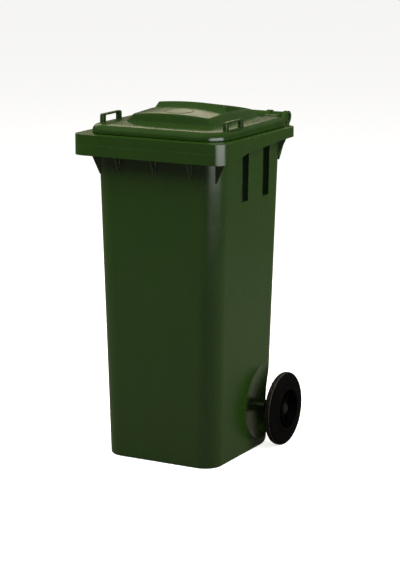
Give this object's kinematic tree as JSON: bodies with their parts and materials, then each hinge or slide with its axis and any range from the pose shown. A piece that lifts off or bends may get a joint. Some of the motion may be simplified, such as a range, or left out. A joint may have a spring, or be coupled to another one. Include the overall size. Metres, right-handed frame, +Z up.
{
  "type": "wheelie bin",
  "caption": "Wheeled refuse bin: tapered tub with comb collar, hinged stepped lid with loop handles, rear handle bar, and rubber-tyred wheels on a steel axle.",
  "frame": {"origin": "on the ground, under the middle of the whole bin's box", "axes": "+Z up; -Y is the front, where the comb is; +Y the back, where the handle and wheels are; X runs along the axle"},
  "size_m": [0.4554, 0.486, 0.933],
  "materials": {
    "tub": "satin moulded polyethylene",
    "lid": "glossy moulded polyethylene",
    "pin": "moulded polypropylene",
    "rim": "moulded polypropylene",
    "tyre": "matt rubber",
    "axle_steel": "bright drawn",
    "zinc": "zinc plated",
    "bush": "moulded nylon",
    "cap": "zinc plated, pressed"
  },
  "bodies": {
    "bin": {"bin_body": "tub", "axle": "axle_steel", "hinge_pin_left": "pin", "spacer_left": "rim", "washer_inner_left": "zinc", "washer_outer_left": "zinc", "axle_cap_left": "cap", "hinge_pin_right": "pin", "spacer_right": "rim", "washer_inner_right": "zinc", "washer_outer_right": "zinc", "axle_cap_right": "cap"},
    "lid": {"lid": "lid"},
    "wheel_left": {"wheel_rim_left": "rim", "tyre_left": "tyre", "hub_bush_inner_left": "bush", "hub_bush_outer_left": "bush"},
    "wheel_right": {"wheel_rim_right": "rim", "tyre_right": "tyre", "hub_bush_inner_right": "bush", "hub_bush_outer_right": "bush"}
  },
  "joints": [
    {"name": "lid_hinge", "type": "hinge", "parent": "bin", "child": "lid", "pos_m": [0, 0.227, 0.878], "axis": [-1, 0, 0], "range_deg": [0, 265]},
    {"name": "wheel_left_spin", "type": "hinge", "parent": "bin", "child": "wheel_left", "pos_m": [0.2006, 0.127, 0.1], "axis": [1, 0, 0], "continuous": true},
    {"name": "wheel_right_spin", "type": "hinge", "parent": "bin", "child": "wheel_right", "pos_m": [-0.2006, 0.127, 0.1], "axis": [1, 0, 0], "continuous": true}
  ]
}
